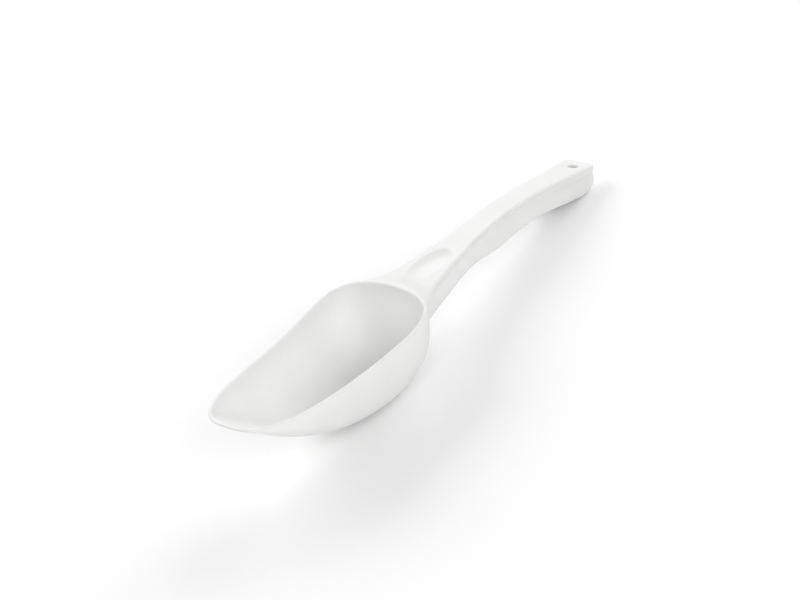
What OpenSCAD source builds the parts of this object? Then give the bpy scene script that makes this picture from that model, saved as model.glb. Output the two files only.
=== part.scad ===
// Ice scoop: a single white plastic moulding, drawn as the named regions it is made of.
// Each region is a closed solid that meets its neighbours face to face.
// Drawn level first: X runs from the tip to the handle, Y across, Z up from the line that
// joins the tip to the back of the rim. settle() then stands it on its bowl and handle end.

/* [Bowl] */
// Length of the mouth, from the tip to the back of the rim
mouth_length = 133; // [128:1:138]
// Width of the mouth over its walls
mouth_width = 66; // [62:1:70]
// Depth of the bowl below the line from the tip to the back of the rim
bowl_depth = 47; // [43:1:51]
// How far the rim sags below that line halfway along
rim_sag = 5.5; // [2:0.5:7]
// Height of the rounded band at the top of the bowl's wall
rim_band = 2.6; // [2:0.2:3.2]
// Thickness of every wall
wall = 2; // [1.6:0.1:2.4]

/* [Handle] */
// Overall length along the scoop, from the tip to the end of the handle
overall_length = 302; // [294:1:310]
// How far the top of the handle is dished between its two edges
top_dish = 0.5; // [0:0.1:0.8]
// Radius of the rounded corners at the handle's end, seen from above
end_corner = 5; // [3:0.5:7]
// Thickness of a cross rib under the handle
rib_thickness = 1.6; // [1.2:0.1:2.4]
// Number of cross ribs under the handle
rib_count = 5; // [3:1:7]
// Height of a cross rib
rib_height = 7; // [4:0.5:9]

/* [Thumb rest] */
// Length of the hollow
thumb_length = 38; // [34:1:42]
// Width of the hollow
thumb_width = 16.4; // [12:0.2:17]
// Depth of the hollow
thumb_depth = 2.4; // [1.2:0.2:3]

/* [Hang hole] */
// Diameter of the hole
hole_diameter = 5.6; // [4:0.2:6.4]
// Diameter of the shallow recess around it
recess_diameter = 12.4; // [10:0.2:13]
// Depth of that recess
recess_depth = 0.5; // [0.2:0.1:0.8]
// Distance from the centre of the hole to the end of the handle
hole_inset = 7; // [6.8:0.2:9]
// Length of the sleeve that carries the hole on down under the top
sleeve_length = 3; // [2:0.5:4]

/* [Hidden] */
$fn = 64;
plastic = [0.95, 0.95, 0.94];

// ---- Mouth outline -------------------------------------------------------------------
// A smooth hump over u = 0 to 1 that is 1 at its peak. It rises as a power of u, falls as a
// power of 1 - u, and bend and skew shape it in between.
function hump(u, peak, rise, fall, bend, skew = 0) =
    let (level = fall / (1 - peak) - rise / peak - 2 * bend * peak - 3 * skew * pow(peak, 2))
    pow(u / peak, rise) * pow((1 - u) / (1 - peak), fall) * exp(level * (u - peak)
        + bend * (pow(u, 2) - pow(peak, 2)) + skew * (pow(u, 3) - pow(peak, 3)));
function fraction(x) = min(1, max(0, x / mouth_length));
half_width = mouth_width / 2;
function mouth_half(x) = half_width * hump(fraction(x), 0.79, 0.37, 0.51, -0.5, 1.5);
// Points along one side of the mouth, crowded towards its two ends
side_steps = 48;
near_half = [for (i = [0:side_steps]) let (x = mouth_length * (1 - cos(180 * i / side_steps)) / 2)
    [x, i == 0 || i == side_steps ? 0 : mouth_half(x)]];
last = len(near_half) - 1;
// Whole outline, clockwise from above: tip, +Y side, back, -Y side
outline = concat(near_half, [for (i = [last - 1:-1:1]) [near_half[i].x, -near_half[i].y]]);
around = len(outline);

function unit(v) = v / norm(v);
function inward(i) = let (t = unit(outline[(i + 1) % around] - outline[(i + around - 1) % around]))
    [t.y, -t.x];
function mouth(i, inset) = outline[i] + inset * inward(i);

// Height of the rim over its length, sagging between the tip and the back
sag_shift = 0.33;
function rim_z(x) = let (u = x / mouth_length)
    -4 * rim_sag * u * (1 - u) * (1 - sag_shift * (1 - 2 * u));
// The rounded band is thin at the tip and full height from the sides back
function band(x) = rim_band * (0.4 + 0.6 * min(1, x / (0.2 * mouth_length)));

// ---- Bowl surface --------------------------------------------------------------------
// The keel runs down a long ramp from the tip to its low point, then turns up to the back
// of the rim. Across the bowl the wall climbs from the keel to the rim as a blunt arch.
low_x = 0.7 * mouth_length;
function keel(x) = hump(fraction(x), low_x / mouth_length, 1.2, 0.43, 0.1);
arch_power = 2.34;
function share(a, b) = min(1, max(0, a / b));
function arch(x, y) = pow(1 - pow(share(abs(y), max(mouth_half(x), 0.01)), arch_power),
    1 / arch_power);

// Rings of the bowl run out from a middle point to the foot of the rim band. Both faces of
// the wall use the same rings: the inner face is the outer one drawn in by the wall.
middle = [0.56 * mouth_length, 0];
radial_steps = 15;
function wall_foot(x) = rim_z(x) - band(x);
function bowl_point(edge, outer_edge, r, floor_z) = let (
    p = middle + (edge - middle) * r, q = middle + (outer_edge - middle) * r, foot = wall_foot(q.x))
    [p.x, p.y, foot - (foot - floor_z) * (r == 1 ? 0 : keel(q.x) * arch(q.x, q.y))];
function radius_at(k) = pow(sin(90 * k / radial_steps), 2 / arch_power);
function bowl_side(inset, floor_z) = [for (k = [1:radial_steps])
    [for (i = [0:around - 1]) bowl_point(mouth(i, inset), outline[i], radius_at(k), floor_z)]];
function bowl_middle(floor_z) = bowl_point(middle, middle, 0, floor_z);

// ---- Generic skins -------------------------------------------------------------------
function flat(rings) = [for (ring = rings) for (p = ring) p];
// Quads between consecutive rings of n points, split into triangles
function skin(n, count, closed = false) = [
    for (k = [0:count - (closed ? 1 : 2)], i = [0:n - 1])
    let (a = k * n + i, b = k * n + (i + 1) % n,
         c = ((k + 1) % count) * n + (i + 1) % n, d = ((k + 1) % count) * n + i)
    each [[a, b, c], [a, c, d]]];
module loft(rings) {
    n = len(rings[0]);
    count = len(rings);
    polyhedron(flat(rings), concat(skin(n, count),
        [[for (i = [n - 1:-1:0]) i], [for (i = [0:n - 1]) (count - 1) * n + i]]), convexity = 8);
}
// The same for a channel, whose ring runs out along one side of the wall and back along
// the other, so each end is a strip of quads across the wall
module channel(rings) {
    n = len(rings[0]);
    count = len(rings);
    far = (count - 1) * n;
    strip = [for (i = [0:n / 2 - 2]) [i, i + 1, n - 2 - i, n - 1 - i]];
    polyhedron(flat(rings), concat(skin(n, count),
        [for (q = strip) each [[q[0], q[2], q[1]], [q[0], q[3], q[2]]]],
        [for (q = strip) each [[far + q[0], far + q[1], far + q[2]],
            [far + q[0], far + q[2], far + q[3]]]]),
        convexity = 8);
}
// A stack of rings whose first and last rings shrink to one point each
module pod(first, rings, final) {
    n = len(rings[0]);
    count = len(rings);
    foot = n * count;
    polyhedron(concat(flat(rings), [first, final]), concat(skin(n, count),
        [for (i = [0:n - 1]) [foot, (i + 1) % n, i]],
        [for (i = [0:n - 1]) [foot + 1, (count - 1) * n + i, (count - 1) * n + (i + 1) % n]]),
        convexity = 8);
}

// ---- Spine of the neck and handle ----------------------------------------------------
// Each row: distance behind the rim, half width of the top, height of its edge,
// depth of the side wall, and how far the foot of the wall flares out
handle_length = overall_length - mouth_length;
spine = [
    [-21, 31.0, -2.3, 6, -3.0],
    [-15, 30.6, -2.2, 9, -2.6],
    [-9, 27.7, -2.4, 12, -1.8],
    [-3, 24.1, -3.1, 13, -0.8],
    [3, 20.6, -4.1, 13, 0.2],
    [9, 17.6, -4.8, 13, 1.0],
    [17, 14.8, -5.4, 12.8, 1.6],
    [27, 12.7, -5.6, 12.4, 2.0],
    [39, 11.0, -5.7, 11.2, 2.3],
    [51, 9.3, -5.8, 11.6, 2.5],
    [63, 8.0, -5.9, 13.8, 2.5],
    [78, 7.6, -6.1, 15.4, 2.5],
    [95, 7.7, -7.2, 14.4, 2.5],
    [113, 7.7, -9.7, 13.8, 2.5],
    [129, 8.1, -12.8, 14.0, 2.5],
    [145, 8.9, -16.20, 14.6, 2.3],
    [155, 9.8, -18.30, 14.6, 1.6],
    [167, 11.0, -20.82, 13.6, 0.2]];
spine_span = spine[len(spine) - 1][0];
function station(x) = (x - mouth_length) * spine_span / handle_length;
function slope(i, k) = let (a = spine[max(i - 1, 0)], b = spine[min(i + 1, len(spine) - 1)])
    (b[k] - a[k]) / (b[0] - a[0]);
function before(s) = max([for (i = [0:len(spine) - 2]) spine[i][0] <= s ? i : 0]);
// Smooth value of column k of the spine at x
function along(x, k) = let (
    s = station(x), i = before(s), a = spine[i], b = spine[i + 1],
    h = b[0] - a[0], t = (s - a[0]) / h)
    (1 + 2 * t) * pow(1 - t, 2) * a[k] + t * pow(1 - t, 2) * h * slope(i, k)
    + t * t * (3 - 2 * t) * b[k] + t * t * (t - 1) * h * slope(i + 1, k);
tilt_step = 0.5;
function tilt(x) = let (a = max(x - tilt_step, station_start), b = min(x + tilt_step, overall_length))
    atan((along(b, 2) - along(a, 2)) / (b - a));
station_start = mouth_length + spine[0][0] * handle_length / spine_span;

// 1 on the back of the rim, growing with distance behind it
back_start = 0.85 * mouth_length;
back_power = [1.75, 2.45];
function behind_rim(x, y) = pow(max(0, x - back_start) / (mouth_length - back_start), back_power[0])
    + pow(abs(y) / half_width, back_power[1]);
saddle_reach = 1.6;
function saddle(x, y) = pow(1 - min(1, max(0, (behind_rim(x, y) - 1) / saddle_reach)), 2);
thumb_middle = mouth_length + 0.716 * thumb_length;
thumb_power = 2.6;
function in_thumb(x, y) = pow(pow(2 * abs(x - thumb_middle) / thumb_length, 2)
    + pow(2 * abs(y) / thumb_width, 2), thumb_power / 2);
// The dish runs out to flat ground around the hang hole
function dish(x) = top_dish * min(1, max(0, (end_start - x) / 30));
// Height of the top surface above its edge at (x, y)
function top_rise(x, y, w) = let (u = y / w, f = saddle(x, y))
    -along(x, 2) * f * (1 - pow(u, 4)) - dish(x) * (1 - u * u) * (1 - f)
    - thumb_depth * max(0, 1 - in_thumb(x, y));

// ---- Cross sections ------------------------------------------------------------------
edge_round = 1.4;
across_steps = 9;
// Depth of the side wall. Under the handle's end it is cut away on a slant, up to the foot
// of the end wall.
end_wall_height = 7;
end_cut = 8.4;
cut_power = 0.75;
function wall_depth(x) = let (s = (overall_length - x) / end_cut, full = along(x, 3))
    s >= 1 ? full : end_wall_height + (full - end_wall_height) * pow(max(0, s), cut_power);
function cove_drop(d) = min(4, 0.35 * d);
function corner_inset(x) = let (d = x - (overall_length - end_corner))
    d <= 0 ? 0 : end_corner - sqrt(max(0, end_corner * end_corner - d * d));

// Half of the outside, from the foot of the wall up to the middle of the top
function outside_half(x) = let (
    w = along(x, 1) - corner_inset(x), d = wall_depth(x), flare = along(x, 4),
    shoulder = w - edge_round)
    concat(
        [[w + flare - 0.3, -d], [w + flare, 1.2 - d], [w + 0.62 * flare, -0.6 * d],
         [w + 0.1 * flare, -cove_drop(d)], [w, -edge_round], [w - 0.35 * edge_round, -0.3 * edge_round]],
        [for (k = [0:across_steps]) let (y = shoulder * (1 - k / across_steps))
            [y, top_rise(x, y, w)]]);
// The inside follows it one wall thickness away, point for point, down to depth d
function inside_half(x, d) = let (
    w = along(x, 1) - corner_inset(x), flare = along(x, 4), shoulder = w - edge_round - wall)
    concat(
        [[w + flare - 0.3 - wall, -d], [w + flare - wall, 1.2 - d], [w + 0.62 * flare - wall, -0.6 * d],
         [w + 0.1 * flare - wall, -max(cove_drop(d) + 0.5, wall + edge_round + 0.2)],
         [w - wall, -wall - edge_round], [w - wall - 0.5 * edge_round, -wall - 0.4 * edge_round]],
        [for (k = [0:across_steps]) let (y = shoulder * (1 - k / across_steps))
            [y, top_rise(x, y, w) - wall]]);
function whole(half) = concat([for (p = half) [-p.x, p.y]], [for (i = [len(half) - 2:-1:0]) half[i]]);
function reversed(list) = [for (i = [len(list) - 1:-1:0]) list[i]];
// Stand a section up at x, square to the spine
function stand(x, section) = let (a = tilt(x), z = along(x, 2))
    [for (p = section) [x - p.y * sin(a), p.x, z + p.y * cos(a)]];
function shell_ring(x) = stand(x, concat(whole(outside_half(x)),
    reversed(whole(inside_half(x, along(x, 3))))));
function outer_ring(x) = stand(x, whole(outside_half(x)));
function inner_ring(x) = stand(x, whole(inside_half(x, along(x, 3))));
function spread(a, b, n) = [for (i = [0:n]) a + (b - a) * i / n];

neck_end = thumb_middle + thumb_length / 2 + 3;
end_start = overall_length - 16;
cavity_end = overall_length - wall;
neck_stations = spread(station_start, neck_end, 38);
handle_stations = spread(neck_end, end_start, 26);
corner_stations = [for (i = [1:6]) overall_length - end_corner * (1 - sin(i * 15))];
end_stations = concat([end_start, end_start + 3.5, overall_length - end_cut,
    overall_length - end_cut + 1.6, overall_length - end_corner], corner_stations);

// ---- Resting on a table --------------------------------------------------------------
under_bowl = flat(bowl_side(0, -bowl_depth));
under_end = flat([for (x = end_stations) outer_ring(x)]);
function height(p, a) = p.z * cos(a) - p.x * sin(a);
function lowest(points, a) = min([for (p = points) height(p, a)]);
support_span = overall_length - low_x;
function settled(a, turns) = turns == 0 ? a : settled(
    a + atan((lowest(under_end, a) - lowest(under_bowl, a)) / support_span), turns - 1);
rest_pitch = settled(2, 6);
function forward(p, a) = p.x * cos(a) + p.z * sin(a);
tip_x = min([for (p = outline) forward([p.x, p.y, rim_z(p.x) - band(p.x)], rest_pitch)]);
end_x = max([for (p = under_end) forward(p, rest_pitch)]);
module settle() {
    translate([-(tip_x + end_x) / 2, 0, -lowest(under_bowl, rest_pitch)])
        rotate([0, rest_pitch, 0]) children();
}

// ---- Regions of the moulding ---------------------------------------------------------
module bowl() {
    outer = bowl_side(0, -bowl_depth);
    inner = bowl_side(wall, wall - bowl_depth);
    color(plastic) settle() pod(bowl_middle(-bowl_depth), concat(outer, reversed(inner)),
        bowl_middle(wall - bowl_depth));
}

// Rounded edge band that tops the wall all the way round
band_section = [[1, 0], [1, 0.7], [0.75, 1], [0.25, 1], [0, 0.7], [0, 0]];
module rim() {
    rings = [for (i = [0:around - 1]) [for (q = band_section)
        let (p = mouth(i, q.x * wall), x = outline[i].x)
        [p.x, p.y, rim_z(x) - band(x) * (1 - q.y)]]];
    color(plastic) settle()
        polyhedron(flat(rings), skin(len(band_section), around, true), convexity = 8);
}

// Everything inside the bowl's outer surface, carried up past the rim
clear_above = 15;
module bowl_core() {
    outer = bowl_side(0, -bowl_depth);
    top = [for (p = outline) [p.x, p.y, clear_above]];
    pod(bowl_middle(-bowl_depth), concat(outer, [top]), [middle.x, 0, clear_above]);
}

module neck_blank() {
    difference() {
        channel([for (x = neck_stations) shell_ring(x)]);
        bowl_core();
    }
}

// Upright oval that bounds the hollow, from above the neck to below its skin
module thumb_plug() {
    translate([thumb_middle, 0, -wall - 14])
        linear_extrude(height = 24)
            polygon([for (a = [0:7.5:359]) [thumb_length / 2 * cos(a), thumb_width / 2 * sin(a)]]);
}

module neck() {
    color(plastic) settle() difference() {
        neck_blank();
        thumb_plug();
    }
}

module thumb_rest() {
    color(plastic) settle() intersection() {
        neck_blank();
        thumb_plug();
    }
}

module handle() {
    color(plastic) settle() channel([for (x = handle_stations) shell_ring(x)]);
}

// The open underside of the handle's end. Its feet are carried down past the walls, and
// over the slanted foot of the end they stop one wall above it.
slant_lift = 1.4 * wall;
cavity_open = overall_length - end_cut - 0.5;
function cavity_depth(x) = x <= cavity_open ? along(x, 3) + 3 : wall_depth(x) - slant_lift;
function cavity_ring(x) = stand(x, whole(inside_half(x, cavity_depth(x))));
cavity_stations = [end_start - 1, end_start, end_start + 3.5, cavity_open, cavity_open + 0.4,
    overall_length - 6.5, overall_length - end_corner, overall_length - 3.5, cavity_end];
module end_cavity() {
    loft([for (x = cavity_stations) cavity_ring(x)]);
}

// Square to the sloping top at the hole
hole_x = overall_length - hole_inset;
module at_hole() {
    translate([hole_x, 0, along(hole_x, 2)]) rotate([0, -tilt(hole_x), 0]) children();
}

sleeve_wall = 1.4;
module handle_end() {
    color(plastic) settle() difference() {
        union() {
            difference() {
                loft([for (x = end_stations) outer_ring(x)]);
                end_cavity();
            }
            at_hole() translate([0, 0, -wall - sleeve_length])
                cylinder(d = hole_diameter + 2 * sleeve_wall, h = sleeve_length + 0.6 * wall);
        }
        at_hole() {
            // Right through the top, the sleeve and the slanted foot under them
            translate([0, 0, -24]) cylinder(d = hole_diameter, h = 24 + wall);
            translate([0, 0, -recess_depth]) cylinder(d = recess_diameter, h = 5);
        }
    }
}

// Thin webs across the open underside of the handle
rib_pitch = (end_start - neck_end) / rib_count;
module handle_ribs() {
    color(plastic) settle() intersection() {
        loft([for (x = handle_stations) inner_ring(x)]);
        for (i = [0:rib_count - 1])
            let (x = neck_end + (i + 0.5) * rib_pitch)
                translate([x - rib_thickness / 2, -mouth_width / 2, along(x, 2) - wall - rib_height])
                    cube([rib_thickness, mouth_width, 2 * rib_height]);
    }
}

bowl();
rim();
neck();
thumb_rest();
handle();
handle_end();
handle_ribs();
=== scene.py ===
# Ice scoop, seen standing on a pale floor: one white plastic moulding with a seamless skin.
import math

import bpy
import numpy as np
import openvdb
from mathutils import Matrix, Vector


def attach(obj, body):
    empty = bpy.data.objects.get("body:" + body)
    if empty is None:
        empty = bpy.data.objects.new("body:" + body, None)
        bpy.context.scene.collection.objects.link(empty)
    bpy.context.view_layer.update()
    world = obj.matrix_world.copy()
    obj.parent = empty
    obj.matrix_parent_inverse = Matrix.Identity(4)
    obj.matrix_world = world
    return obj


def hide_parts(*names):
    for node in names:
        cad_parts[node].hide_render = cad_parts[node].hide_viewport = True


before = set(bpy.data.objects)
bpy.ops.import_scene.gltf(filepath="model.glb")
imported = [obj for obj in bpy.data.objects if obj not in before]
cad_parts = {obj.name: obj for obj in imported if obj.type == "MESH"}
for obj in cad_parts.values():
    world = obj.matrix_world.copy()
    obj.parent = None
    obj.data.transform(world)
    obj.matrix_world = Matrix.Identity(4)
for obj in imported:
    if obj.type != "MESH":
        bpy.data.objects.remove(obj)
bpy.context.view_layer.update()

# ---- Shape numbers, in millimetres, level frame: X from tip to handle, Z up from the line
# that joins the tip to the back of the rim. The same numbers as the CAD's. --------------
LENGTH = 133.0
HALF = 33.0
DEPTH = 47.0
SAG, SAG_SHIFT = 5.5, 0.33
BAND = 2.6
ARCH_POWER = 2.34
MIDDLE_X = 0.56 * LENGTH
WALL = 2.0
OVERALL = 302.0
DISH = 0.5
EDGE_ROUND = 1.4
END_CORNER = 5.0
RIB_THICK, RIB_COUNT, RIB_HIGH = 1.6, 5, 7.0
THUMB_LONG, THUMB_WIDE, THUMB_DEEP = 38.0, 16.4, 2.4
HOLE_D, RECESS_D, RECESS_DEEP, HOLE_INSET = 5.6, 12.4, 0.5, 7.0
SLEEVE_LONG, SLEEVE_WALL = 3.0, 1.4
END_WALL, END_CUT, CUT_POWER = 7.0, 8.4, 0.75
BACK_START, BACK_POWER = 0.85 * LENGTH, (1.75, 2.45)
SADDLE_REACH = 1.6
# Each row: distance behind the rim, half width of the top, height of its edge, depth of the
# side wall, and how far the foot of the wall flares out
SPINE = np.array([
    [-21, 31.0, -2.3, 6, -3.0], [-15, 30.6, -2.2, 9, -2.6], [-9, 27.7, -2.4, 12, -1.8],
    [-3, 24.1, -3.1, 13, -0.8], [3, 20.6, -4.1, 13, 0.2], [9, 17.6, -4.8, 13, 1.0],
    [17, 14.8, -5.4, 12.8, 1.6], [27, 12.7, -5.6, 12.4, 2.0], [39, 11.0, -5.7, 11.2, 2.3],
    [51, 9.3, -5.8, 11.6, 2.5], [63, 8.0, -5.9, 13.8, 2.5], [78, 7.6, -6.1, 15.4, 2.5],
    [95, 7.7, -7.2, 14.4, 2.5], [113, 7.7, -9.7, 13.8, 2.5], [129, 8.1, -12.8, 14.0, 2.5],
    [145, 8.9, -16.20, 14.6, 2.3], [155, 9.8, -18.30, 14.6, 1.6], [167, 11.0, -20.82, 13.6, 0.2]])
# How the scoop rests: turned nose up, then moved to the shared origin
PITCH = math.radians(4.05305)
SHIFT = (-149.85, 53.5987)
# How the skin is softened where the CAD has sharp edges
RIM_ROUND, FOOT_ROUND, SLANT_ROUND, HOLE_ROUND, RECESS_ROUND = 0.85, 0.8, 1.2, 0.35, 0.25


def to_rest(p):
    """Level frame in mm to the shared frame in metres."""
    c, s = math.cos(PITCH), math.sin(PITCH)
    return np.stack([p[:, 0] * c + p[:, 2] * s + SHIFT[0], p[:, 1],
                     -p[:, 0] * s + p[:, 2] * c + SHIFT[1]], axis=1) / 1000


def rim_z(x):
    u = x / LENGTH
    return -4 * SAG * u * (1 - u) * (1 - SAG_SHIFT * (1 - 2 * u))


def band(x):
    return BAND * (0.4 + 0.6 * np.minimum(1, x / (0.2 * LENGTH)))


def share(a):
    return np.clip(a, 0, 1)


def hump(u, peak, rise, fall, bend, skew=0.0):
    """1 at its peak, a power of u at the start and a power of 1 - u at the end."""
    u = np.clip(u, 0, 1)
    level = fall / (1 - peak) - rise / peak - 2 * bend * peak - 3 * skew * peak ** 2
    return ((u / peak) ** rise * ((1 - u) / (1 - peak)) ** fall * np.exp(
        level * (u - peak) + bend * (u ** 2 - peak ** 2) + skew * (u ** 3 - peak ** 3)))


def mouth_half(x):
    return HALF * hump(x / LENGTH, 0.79, 0.37, 0.51, -0.5, 1.5)


def keel(x):
    return hump(x / LENGTH, 0.7, 1.2, 0.43, 0.1)


def outline():
    x = LENGTH * (1 - np.cos(np.linspace(0, math.pi, 260))) / 2
    y = mouth_half(x)
    y[0] = y[-1] = 0
    return np.r_[np.c_[x, y], np.c_[x, -y][-2:0:-1]]


# ---- Distance fields -----------------------------------------------------------------
STEP = 0.4
CELL = 0.8
LOW = np.array([-5.0, -38.0, -51.2])
HIGH = np.array([304.0, 38.0, 8.0])
ABOVE_RIM = 14.0
FAR = 4.0
SIZE = tuple(int(n) for n in np.ceil((HIGH - LOW) / STEP / 2) * 2 + 1)
GX, GY, GZ = (LOW[k] + STEP * np.arange(SIZE[k], dtype=np.float32).reshape(
    [-1 if k == m else 1 for m in range(3)]) for k in range(3))
GX, GY, GZ = (g.astype(np.float32) for g in (GX, GY, GZ))


def field(points, quads, triangles):
    """Signed distance to a closed mesh, on the grid, good to FAR either side."""
    reach = round(FAR / STEP)
    grid = openvdb.FloatGrid.createLevelSetFromPolygons(
        ((points - LOW) / STEP).astype(np.float32), triangles=triangles.astype(np.uint32),
        quads=quads.astype(np.uint32), halfWidth=reach)
    out = np.full(SIZE, reach, dtype=np.float32)
    grid.copyToArray(out)
    return out * STEP


def both(a, b, r):
    """Inside a and b, with the edge where they meet rounded to radius r."""
    u, v = np.maximum(a + r, 0), np.maximum(b + r, 0)
    return np.minimum(np.maximum(a, b), -r) + np.sqrt(u * u + v * v)


def either(a, b, r):
    """Inside a or b, with a fillet of about radius r between them."""
    h = np.maximum(r - np.abs(a - b), 0) / r
    return np.minimum(a, b) - h * h * r / 4


def ring_quads(n, count):
    i = np.arange(n)
    k = np.arange(count - 1)[:, None]
    a, b = k * n + i, k * n + (i + 1) % n
    return np.stack([a, b, b + n, a + n], axis=-1).reshape(-1, 4)


def fans(n, count):
    """Triangles that close a stack of rings, to the two points listed after the rings."""
    i = np.arange(n)
    last = (count - 1) * n
    first_cap = np.stack([np.full(n, n * count), (i + 1) % n, i], axis=1)
    last_cap = np.stack([np.full(n, n * count + 1), last + i, last + (i + 1) % n], axis=1)
    return np.r_[first_cap, last_cap]


def bowl_field():
    """The bowl's outer surface, its wall carried straight up past the rim."""
    edge = outline()
    n = len(edge)
    middle = np.array([MIDDLE_X, 0])
    rings = []
    count = 80
    for k in range(1, count + 1):
        r = math.sin(math.radians(90 * k / count)) ** (2 / ARCH_POWER)
        p = middle + (edge - middle) * r
        across = share(np.abs(p[:, 1]) / np.maximum(mouth_half(p[:, 0]), 0.01))
        arch = (1 - across ** ARCH_POWER) ** (1 / ARCH_POWER)
        foot = rim_z(p[:, 0]) - band(p[:, 0])
        deep = 0 if k == count else keel(p[:, 0]) * arch
        rings.append(np.c_[p, foot - (foot + DEPTH) * deep])
    for t in (0.25, 0.5, 0.75, 1):
        rings.append(np.c_[edge, foot + (ABOVE_RIM - foot) * t])
    count = len(rings)
    points = np.r_[np.concatenate(rings), [[middle[0], 0, -DEPTH], [middle[0], 0, ABOVE_RIM]]]
    return field(points, ring_quads(n, count), fans(n, count))


def spine_at(x, k):
    """Smooth value of one column of the spine, carried straight on past its last row."""
    s = np.atleast_1d(x - LENGTH).astype(float) * SPINE[-1, 0] / (OVERALL - LENGTH)
    rows, col = SPINE[:, 0], SPINE[:, k]
    last = len(rows) - 1
    after, before = (np.clip(np.arange(len(rows)) + d, 0, last) for d in (1, -1))
    slope = (col[after] - col[before]) / (rows[after] - rows[before])
    i = np.clip(np.searchsorted(rows, s, side="right") - 1, 0, last - 1)
    h = rows[i + 1] - rows[i]
    t = np.clip((s - rows[i]) / h, 0, 1)
    inside = ((1 + 2 * t) * (1 - t) ** 2 * col[i] + t * (1 - t) ** 2 * h * slope[i]
              + t * t * (3 - 2 * t) * col[i + 1] + t * t * (t - 1) * h * slope[i + 1])
    return inside + np.maximum(s - rows[-1], 0) * slope[-1]


def tilt(x):
    return np.arctan2(spine_at(x + 0.5, 2) - spine_at(x - 0.5, 2), 1.0)


SPINE_START = LENGTH + SPINE[0, 0] * (OVERALL - LENGTH) / SPINE[-1, 0]
THUMB_X = LENGTH + 0.716 * THUMB_LONG
NECK_END = THUMB_X + THUMB_LONG / 2 + 3
END_START = OVERALL - 16


def top_rise(x, y, w, edge_z):
    """Height of the top surface above its edge: the saddle, the dish and the thumb hollow."""
    u = y / w
    behind = ((max(0, x - BACK_START) / (LENGTH - BACK_START)) ** BACK_POWER[0]
              + (np.abs(y) / HALF) ** BACK_POWER[1])
    f = (1 - share((behind - 1) / SADDLE_REACH)) ** 2
    dish = DISH * min(1, max(0, (END_START - x) / 30))
    # The hollow is deepest and its edge crisp at the handle's end of the oval; it fades
    # towards the bowl
    t = float(share((x - THUMB_X) / THUMB_LONG + 0.5))
    crisp = 1.1 + 5 * t * t
    thumb = ((2 * abs(x - THUMB_X) / THUMB_LONG) ** 2 + (2 * y / THUMB_WIDE) ** 2) ** crisp
    return -edge_z * f * (1 - u ** 4) - dish * (1 - u * u) * (1 - f) - (
        THUMB_DEEP * (0.8 + 0.45 * t) * np.maximum(0, 1 - thumb))


def smooth_path(p, steps):
    """A curve through the points, with the given number of steps between neighbours."""
    p = np.array(p)
    q = np.r_[[2 * p[0] - p[1]], p, [2 * p[-1] - p[-2]]]
    t = (np.arange(steps) / steps)[:, None]
    parts = [0.5 * (2 * q[i] + (q[i + 1] - q[i - 1]) * t
                    + (2 * q[i - 1] - 5 * q[i] + 4 * q[i + 1] - q[i + 2]) * t ** 2
                    + (3 * q[i] - q[i - 1] - 3 * q[i + 1] + q[i + 2]) * t ** 3)
             for i in range(1, len(q) - 2)]
    return np.concatenate(parts + [p[-1:]])


def section(x):
    """Half of the spine's outside at x, with the foot carried down past its real edge."""
    w, edge_z, d, flare = (float(spine_at(x, k)[0]) for k in (1, 2, 3, 4))
    shoulder = w - EDGE_ROUND
    # The cove under the top's edge deepens towards the handle's end
    groove = 0.4 + 1.25 * float(share((x - NECK_END + 25) / 70))
    side = smooth_path([[w + flare - 0.8, 0.4 - d], [w + flare - 0.2, 2.4 - d],
                        [w + 0.92 * flare, -0.64 * d],
                        [w + 0.35 * flare - 0.4 * groove, -6.0], [w - groove, -4.2],
                        [w - 0.85 * groove, -3.0], [w - 0.15 * groove, -1.9],
                        [w, -1.1], [w - 0.5, -0.3], [shoulder, 0]], 6)
    y = shoulder * (1 - np.arange(1, 41) / 40)
    side[:, 1] += top_rise(x, shoulder, w, edge_z) * share((side[:, 1] + 3) / 3)
    top = np.c_[y, top_rise(x, y, w, edge_z)]
    foot = w + flare - 1
    return np.r_[[[foot, -d - 12]], [[foot, -d - 6]], [[foot, -d]], side, top]


def neck_field():
    """Neck and handle as a solid bar, longer than the handle and deeper than its wall."""
    xs = np.arange(SPINE_START, OVERALL + 8, 0.75)
    rings = []
    for x in xs:
        half = section(x)
        whole = np.r_[half * [-1, 1], half[-2::-1]]
        a, z = float(tilt(x)[0]), float(spine_at(x, 2)[0])
        rings.append(np.c_[x - whole[:, 1] * math.sin(a), whole[:, 0], z + whole[:, 1] * math.cos(a)])
    n, count = len(rings[0]), len(rings)
    points = np.r_[np.concatenate(rings), [rings[0].mean(axis=0), rings[-1].mean(axis=0)]]
    return field(points, ring_quads(n, count), fans(n, count))


def foot_line():
    """Height over x of the foot of the side wall, measured square to the spine."""
    xs = np.arange(SPINE_START + 0.5, OVERALL + 8, 0.5)
    d, a = spine_at(xs, 3), tilt(xs)
    x, z = xs + d * np.sin(a), spine_at(xs, 2) - d * np.cos(a)
    return np.interp(GX.ravel(), x, z).reshape(GX.shape).astype(np.float32)


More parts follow.
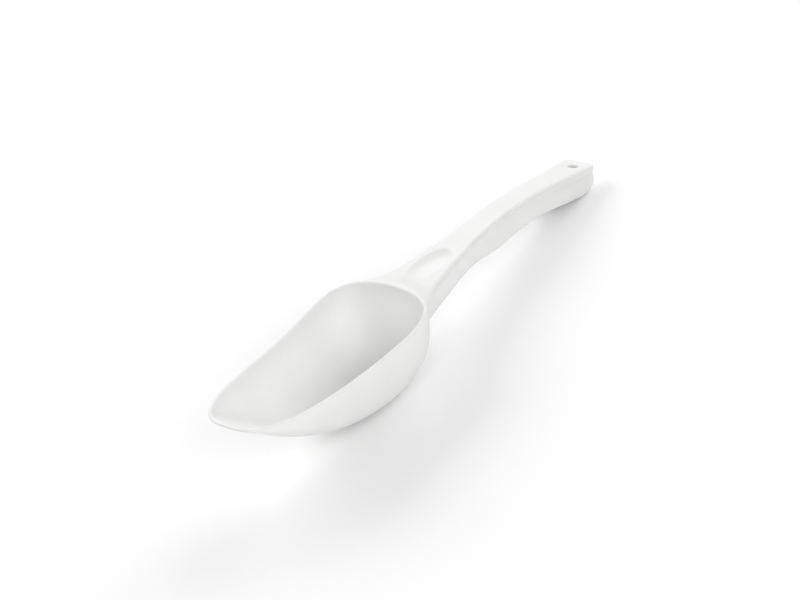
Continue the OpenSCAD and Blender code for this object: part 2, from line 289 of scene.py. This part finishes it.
def scoop_field():
    """The whole moulding as one field."""
    bowl = bowl_field()
    bar = neck_field()
    rim = (GZ - rim_z(GX)) * 0.99
    foot = (foot_line() - GZ) * 0.98

    # The end of the handle: a plan with rounded corners, leaning as the section does
    a = float(tilt(OVERALL)[0])
    end_z = float(spine_at(OVERALL, 2)[0])
    lean = (GX - OVERALL) * math.cos(a) + (GZ - end_z) * math.sin(a)
    width = spine_at(GX.ravel(), 1) + np.maximum(spine_at(GX.ravel(), 4), 0) + 0.05
    width = width.reshape(GX.shape).astype(np.float32)
    plan = both(np.abs(GY) - width + 0 * GX, lean + 0 * GY, END_CORNER)
    below = (GX - OVERALL) * math.sin(a) - (GZ - end_z) * math.cos(a)
    full = float(spine_at(OVERALL, 3)[0]) - END_WALL
    slant = 0.8 * (below - END_WALL - full * (np.maximum(-lean, 0.02) / END_CUT) ** CUT_POWER)
    solid = both(both(bar, foot, FOOT_ROUND), both(plan, slant + 0 * GY, SLANT_ROUND), 0.9)
    over_foot = np.minimum(slant + WALL, lean + END_CUT + 0.5)
    hollow = np.maximum(np.maximum(bar, plan) + WALL, over_foot)
    shell = both(solid, -hollow, 0.5)
    del solid

    # Cross ribs under the handle
    pitch = (END_START - NECK_END) / RIB_COUNT
    for i in range(RIB_COUNT):
        x = NECK_END + (i + 0.5) * pitch
        low = float(spine_at(x, 2)[0]) - WALL - RIB_HIGH
        rib = both(np.abs(GX - x) - RIB_THICK / 2, low - GZ + 0 * GX, 0.4)
        near = slice(int((x - 6 - LOW[0]) / STEP), int((x + 6 - LOW[0]) / STEP))
        part = np.maximum(rib[near], bar[near] + 1.3)
        shell[near] = either(shell[near], part, 1.2)

    # Sleeve that carries the hang hole on down under the top
    x0 = OVERALL - HOLE_INSET
    a, z0 = float(tilt(x0)[0]), float(spine_at(x0, 2)[0])
    u = (GX - x0) * math.cos(a) + (GZ - z0) * math.sin(a)
    h = -(GX - x0) * math.sin(a) + (GZ - z0) * math.cos(a)
    r = np.sqrt(u * u + GY * GY)
    length = np.maximum(h + 0.6 * WALL, -WALL - SLEEVE_LONG - h)
    sleeve = both(r - HOLE_D / 2 - SLEEVE_WALL, length + 0 * GY, 0.4)
    shell = either(shell, sleeve, 1.0)

    # Neck and bowl run together: flush on top, with a growing fillet below the rim
    drop = share((-4 - GZ) / 6)
    fillet = 0.5 + 1.3 * drop * drop * (3 - 2 * drop)
    body = either(both(bowl, rim + 0 * GY, RIM_ROUND), shell, fillet)
    body = both(body, -(bowl + WALL), RIM_ROUND)

    # Hang hole and the shallow recess round it, square to the sloping top
    body = both(body, HOLE_D / 2 - r, HOLE_ROUND)
    body = both(body, -np.maximum(r - RECESS_D / 2, -(h + RECESS_DEEP)), RECESS_ROUND)
    return body


# ---- Skin ----------------------------------------------------------------------------
def sample(f, p):
    """The field at points p, blended between the eight grid values around each."""
    q = np.clip((p - LOW) / STEP, 0, np.array(SIZE) - 1.001)
    i = q.astype(int)
    t = q - i
    out = 0
    for dx in (0, 1):
        for dy in (0, 1):
            for dz in (0, 1):
                w = (np.where(dx, t[:, 0], 1 - t[:, 0]) * np.where(dy, t[:, 1], 1 - t[:, 1])
                     * np.where(dz, t[:, 2], 1 - t[:, 2]))
                out = out + w * f[i[:, 0] + dx, i[:, 1] + dy, i[:, 2] + dz]
    return out


def gradient(f, p):
    e = np.eye(3) * STEP
    return np.stack([(sample(f, p + e[k]) - sample(f, p - e[k])) / (2 * STEP) for k in range(3)], axis=1)


def settle_on(f, p, rounds):
    """Moves the points p onto the surface where the field is zero."""
    for _ in range(rounds):
        g = gradient(f, p)
        d = sample(f, p)[:, None] * g / np.maximum((g * g).sum(axis=1), 0.2)[:, None]
        p = p - np.clip(d, -STEP, STEP)
    return p


def relax(p, quads, amount):
    """Moves every point along the surface towards the middle of its neighbours."""
    total, count = np.zeros_like(p), np.zeros(len(p))
    for k in range(4):
        a, b = quads[:, k], quads[:, (k + 1) % 4]
        for s, t in ((a, b), (b, a)):
            for c in range(3):
                total[:, c] += np.bincount(s, weights=p[t, c], minlength=len(p))
            count += np.bincount(s, minlength=len(p))
    return p + amount * (total / count[:, None] - p)


def skin():
    """Points and quads of the surface, meshed coarsely and then settled on the fine field."""
    body = scoop_field()
    skip = round(CELL / STEP)
    coarse = np.ascontiguousarray(body[::skip, ::skip, ::skip])
    grid = openvdb.FloatGrid()
    grid.background = FAR
    grid.copyFromArray(coarse)
    points, quads = grid.convertToQuads(0.0)
    points = points.astype(float) * CELL + LOW
    quads = quads.astype(int)
    points = settle_on(body, points, 4)
    for _ in range(3):
        points = settle_on(body, relax(points, quads, 0.5), 2)
    return points, quads


def mesh_object(name, points, quads):
    a, b, c, d = (points[quads[:, k]] for k in range(4))
    volume = (np.einsum("ij,ij->i", a, np.cross(b, c)) + np.einsum("ij,ij->i", a, np.cross(c, d))).sum()
    if volume < 0:
        quads = quads[:, ::-1]
    mesh = bpy.data.meshes.new(name)
    mesh.from_pydata(points.tolist(), [], quads.tolist())
    mesh.validate()
    mesh.shade_smooth()
    obj = bpy.data.objects.new(name, mesh)
    bpy.context.scene.collection.objects.link(obj)
    return obj


# ---- Materials -----------------------------------------------------------------------
def polypropylene():
    """White moulded polypropylene: a fine moulded grain, faint scuffs and a soft sheen."""
    mat = bpy.data.materials.new("white_polypropylene")
    mat.use_nodes = True
    nodes, links = mat.node_tree.nodes, mat.node_tree.links
    bsdf = nodes["Principled BSDF"]
    bsdf.inputs["IOR"].default_value = 1.49
    bsdf.inputs["Specular IOR Level"].default_value = 0.4
    bsdf.inputs["Subsurface Weight"].default_value = 0.1
    bsdf.inputs["Subsurface Radius"].default_value = (0.0025, 0.0025, 0.0022)
    bsdf.inputs["Subsurface Scale"].default_value = 1.0
    coords = nodes.new("ShaderNodeTexCoord")

    def noise(scale, detail, rough=0.5):
        n = nodes.new("ShaderNodeTexNoise")
        n.inputs["Scale"].default_value = scale
        n.inputs["Detail"].default_value = detail
        n.inputs["Roughness"].default_value = rough
        links.new(coords.outputs["Object"], n.inputs["Vector"])
        return n.outputs["Fac"]

    def ramp(source, low, high, start=0.3, end=0.7):
        m = nodes.new("ShaderNodeMapRange")
        m.inputs["From Min"].default_value, m.inputs["From Max"].default_value = start, end
        m.inputs["To Min"].default_value, m.inputs["To Max"].default_value = low, high
        links.new(source, m.inputs["Value"])
        return m.outputs["Result"]

    # Colour: slow clouding, and a trace of grain
    colours = nodes.new("ShaderNodeMix")
    colours.data_type = "RGBA"
    colours.inputs["A"].default_value = (0.82, 0.821, 0.812, 1)
    colours.inputs["B"].default_value = (0.86, 0.86, 0.852, 1)
    links.new(ramp(noise(38, 3), 0, 1), colours.inputs["Factor"])
    links.new(colours.outputs["Result"], bsdf.inputs["Base Color"])

    # Fine scuffs run along the scoop, where ice has rubbed it
    stretch = nodes.new("ShaderNodeMapping")
    stretch.inputs["Scale"].default_value = (40, 900, 900)
    links.new(coords.outputs["Object"], stretch.inputs["Vector"])
    scuff = nodes.new("ShaderNodeTexNoise")
    scuff.inputs["Scale"].default_value = 1.0
    scuff.inputs["Detail"].default_value = 4
    links.new(stretch.outputs["Vector"], scuff.inputs["Vector"])
    scuffs = ramp(scuff.outputs["Fac"], 0, 1, 0.56, 0.72)

    rough = nodes.new("ShaderNodeMath")
    rough.operation = "ADD"
    links.new(ramp(noise(160, 4), 0.46, 0.56), rough.inputs[0])
    worn = nodes.new("ShaderNodeMath")
    worn.operation = "MULTIPLY"
    worn.inputs[1].default_value = 0.12
    links.new(scuffs, worn.inputs[0])
    links.new(worn.outputs["Value"], rough.inputs[1])
    links.new(rough.outputs["Value"], bsdf.inputs["Roughness"])

    # Orange peel of the mould and the scuffs, as a very shallow bump
    peel = nodes.new("ShaderNodeBump")
    peel.inputs["Strength"].default_value = 0.12
    peel.inputs["Distance"].default_value = 0.0003
    links.new(noise(420, 3), peel.inputs["Height"])
    scratch = nodes.new("ShaderNodeBump")
    scratch.inputs["Strength"].default_value = 0.10
    scratch.inputs["Distance"].default_value = 0.0001
    scratch.invert = True
    links.new(scuffs, scratch.inputs["Height"])
    links.new(peel.outputs["Normal"], scratch.inputs["Normal"])
    links.new(scratch.outputs["Normal"], bsdf.inputs["Normal"])
    return mat


def floor_material():
    mat = bpy.data.materials.new("pale_floor")
    mat.use_nodes = True
    nodes, links = mat.node_tree.nodes, mat.node_tree.links
    bsdf = nodes["Principled BSDF"]
    bsdf.inputs["Roughness"].default_value = 0.9
    bsdf.inputs["Specular IOR Level"].default_value = 0.1
    coords = nodes.new("ShaderNodeTexCoord")
    noise = nodes.new("ShaderNodeTexNoise")
    noise.inputs["Scale"].default_value = 3
    links.new(coords.outputs["Object"], noise.inputs["Vector"])
    mix = nodes.new("ShaderNodeMix")
    mix.data_type = "RGBA"
    mix.inputs["A"].default_value = (0.95, 0.95, 0.95, 1)
    mix.inputs["B"].default_value = (0.97, 0.97, 0.97, 1)
    links.new(noise.outputs["Fac"], mix.inputs["Factor"])
    links.new(mix.outputs["Result"], bsdf.inputs["Base Color"])
    return mat


# ---- Scoop ---------------------------------------------------------------------------
points, quads = skin()
scoop = mesh_object("scoop_moulding", to_rest(points), quads)
scoop.data.materials.append(polypropylene())
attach(scoop, "root")
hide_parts(*[n if isinstance(n, str) else n["name"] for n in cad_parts])

# ---- Floor, light and camera ---------------------------------------------------------
mesh = bpy.data.meshes.new("floor")
mesh.from_pydata([(-4, -4, 0), (4, -4, 0), (4, 4, 0), (-4, 4, 0)], [], [(0, 1, 2, 3)])
floor = bpy.data.objects.new("floor", mesh)
floor.data.materials.append(floor_material())
bpy.context.scene.collection.objects.link(floor)

world = bpy.data.worlds.new("studio")
bpy.context.scene.world = world
world.use_nodes = True
world.node_tree.nodes["Background"].inputs["Color"].default_value = (1, 1, 1, 1)
world.node_tree.nodes["Background"].inputs["Strength"].default_value = 0.06
bpy.context.scene.view_settings.view_transform = "Standard"


def area_light(name, place, target, size, power):
    data = bpy.data.lights.new(name, "AREA")
    data.shape = "DISK"
    data.size = size
    data.energy = power
    obj = bpy.data.objects.new(name, data)
    obj.location = place
    obj.rotation_euler = (Vector(target) - Vector(place)).to_track_quat("-Z", "Y").to_euler()
    bpy.context.scene.collection.objects.link(obj)


# A ring of soft boxes at 35 degrees: strongest from the handle's end, from the far side and
# from the camera's side
BOX_RADIUS, BOX_SIZE = 1.4, 1.1
for azimuth, power in ((0, 8.4), (45, 4.2), (90, 9.6), (135, 3.0), (225, 9.0), (270, 5.0)):
    a, e = math.radians(azimuth), math.radians(35)
    place = BOX_RADIUS * Vector((math.cos(a) * math.cos(e), math.sin(a) * math.cos(e), math.sin(e)))
    area_light("soft_box_%d" % azimuth, place, (0, 0, 0), BOX_SIZE, power)


def make_camera():
    """100 mm lens above the tip's left, turned a little about its own axis."""
    a, e, roll = -0.810321, 0.548807, 0.208979
    lens_mm, offset = 100, np.array([-3.2393, 8.4643, -1131.85])
    right = np.array([math.cos(a), math.sin(a), 0])
    up = np.array([-math.sin(a) * math.sin(e), math.cos(a) * math.sin(e), math.cos(e)])
    back = np.cross(right, up)
    right, up = (math.cos(roll) * right - math.sin(roll) * up,
                 math.sin(roll) * right + math.cos(roll) * up)
    axes = np.array([right, up, back])
    place = np.array([LENGTH, 0, 0]) - axes.T @ offset
    origin = to_rest(np.zeros((1, 3)))[0]
    turned = [(to_rest(v[None])[0] - origin) * 1000 for v in axes]
    data = bpy.data.cameras.new("camera")
    data.lens = lens_mm
    data.sensor_width = 36
    data.clip_start, data.clip_end = 0.05, 50
    cam = bpy.data.objects.new("camera", data)
    m = Matrix.Identity(4)
    for k, v in enumerate((*turned, to_rest(place[None])[0])):
        for j in range(3):
            m[j][k] = v[j]
    cam.matrix_world = m
    bpy.context.scene.collection.objects.link(cam)
    bpy.context.scene.camera = cam


make_camera()
bpy.context.view_layer.update()
